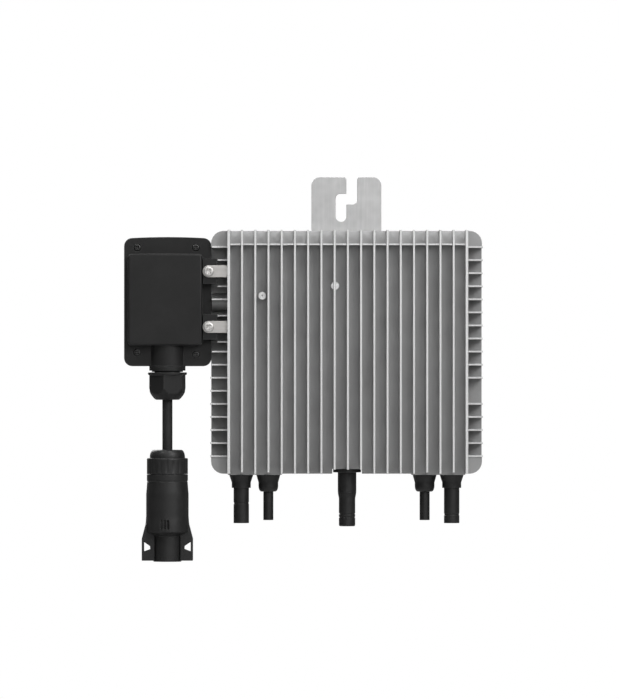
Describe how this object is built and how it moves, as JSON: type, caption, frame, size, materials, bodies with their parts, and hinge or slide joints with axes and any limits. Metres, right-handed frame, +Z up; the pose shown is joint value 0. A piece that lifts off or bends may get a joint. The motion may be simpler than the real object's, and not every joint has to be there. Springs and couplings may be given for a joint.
{
  "type": "solar microinverter",
  "caption": "Finned die-cast solar microinverter with a slotted hanging bracket, DC ports, stub antenna and a strapped-on relay box whose cable ends in an AC connector.",
  "frame": {"origin": "centre of the hanging slot's round seat, on the rear face of the bracket", "axes": "+Z up as it hangs, +X to the right seen from the front, -Y towards the front where the fins face"},
  "size_m": [0.3071, 0.042, 0.3298],
  "materials": {
    "die_cast": "satin",
    "cover_plate": "satin",
    "bracket_steel": "satin",
    "screw_steel": "polished",
    "dark_screw_steel": "satin",
    "strap_steel": "satin",
    "box_plastic": "matte",
    "port_plastic": "satin",
    "connector_plastic": "satin",
    "insert_plastic": "satin",
    "contact_brass": "polished",
    "seal_rubber": "matte",
    "cable_jacket": "matte",
    "board_laminate": "satin",
    "ferrite": "matte",
    "copper_wire": "gloss",
    "capacitor_can": "satin",
    "film_case": "gloss",
    "device_epoxy": "matte",
    "thermal_pad": "matte",
    "shield_can": "satin",
    "fuse_body": "gloss",
    "lead_insulation": "satin",
    "terminal_plastic": "satin"
  },
  "bodies": {
    "root": {"heatsink_housing": "die_cast", "back_cover": "cover_plate", "cover_gasket": "seal_rubber", "cover_screws": "screw_steel", "mounting_bracket": "bracket_steel", "bracket_screws": "screw_steel", "dc_port_outer_left": "port_plastic", "dc_port_inner_left": "port_plastic", "dc_port_inner_right": "port_plastic", "dc_port_outer_right": "port_plastic", "dc_contacts": "contact_brass", "dc_port_seals": "seal_rubber", "dc_lock_nuts": "port_plastic", "dc_leads": "lead_insulation", "antenna_base": "port_plastic", "antenna_sleeve": "port_plastic", "antenna_lead": "contact_brass", "main_board": "board_laminate", "inner_screws": "screw_steel", "transformer_core_left": "ferrite", "transformer_core_right": "ferrite", "transformer_winding_left": "copper_wire", "transformer_winding_right": "copper_wire", "dc_capacitors": "capacitor_can", "film_capacitors": "film_case", "power_transistors": "device_epoxy", "transistor_clamps": "screw_steel", "thermal_pads": "thermal_pad", "choke_core": "ferrite", "choke_winding": "copper_wire", "fuses": "fuse_body", "radio_module": "shield_can", "relay_box_base": "box_plastic", "relay_box_cover": "box_plastic", "relay_box_gasket": "seal_rubber", "relay_box_screws": "dark_screw_steel", "relay_board": "board_laminate", "relay_frames": "screw_steel", "relay_coils": "copper_wire", "terminal_block": "terminal_plastic", "link_sleeve": "box_plastic", "link_wires": "lead_insulation", "gland_body": "box_plastic", "gland_seal": "seal_rubber", "cable_tail": "cable_jacket", "ac_cable": "cable_jacket", "connector_grommet": "seal_rubber", "connector_shell": "connector_plastic", "connector_insert": "insert_plastic", "connector_contacts": "contact_brass", "strap_upper": "strap_steel", "strap_lower": "strap_steel", "strap_screws": "screw_steel"},
    "gland_thrust_ring": {"gland_thrust_ring": "insert_plastic"},
    "gland_nut": {"gland_nut": "box_plastic"},
    "connector_thrust_ring": {"connector_thrust_ring": "insert_plastic"},
    "connector_nut": {"connector_nut": "connector_plastic"},
    "relay_armature_left": {"relay_armature_left": "contact_brass"},
    "relay_armature_right": {"relay_armature_right": "contact_brass"}
  },
  "joints": [
    {"name": "gland_thrust_ring_slide", "type": "slide", "parent": "root", "child": "gland_thrust_ring", "axis": [0, 0, -1], "range_m": [0, 0.0023]},
    {"name": "gland_nut_turn", "type": "hinge", "parent": "gland_thrust_ring", "child": "gland_nut", "pos_m": [-0.14885, -0.02, -0.14585], "axis": [0, 0, -1], "range_deg": [0, 540]},
    {"name": "connector_thrust_ring_slide", "type": "slide", "parent": "root", "child": "connector_thrust_ring", "axis": [0, 0, 1], "range_m": [0, 0.0023]},
    {"name": "connector_nut_turn", "type": "hinge", "parent": "connector_thrust_ring", "child": "connector_nut", "pos_m": [-0.14885, -0.02, -0.21585], "axis": [0, 0, 1], "range_deg": [0, 540]},
    {"name": "relay_armature_left_rock", "type": "hinge", "parent": "root", "child": "relay_armature_left", "pos_m": [-0.16335, -0.03, -0.05465], "axis": [-1, 0, 0], "range_deg": [0, 3.5], "stiffness_Nm_per_rad": 0.01, "springref_deg": -11.46},
    {"name": "relay_armature_right_rock", "type": "hinge", "parent": "root", "child": "relay_armature_right", "pos_m": [-0.14135, -0.03, -0.05465], "axis": [-1, 0, 0], "range_deg": [0, 3.5], "stiffness_Nm_per_rad": 0.01, "springref_deg": -11.46}
  ],
  "couplings": [
    {"joint": "gland_thrust_ring_slide", "follows": "gland_nut_turn", "m_per_rad": 0.00023873},
    {"joint": "connector_thrust_ring_slide", "follows": "connector_nut_turn", "m_per_rad": 0.00023873}
  ]
}
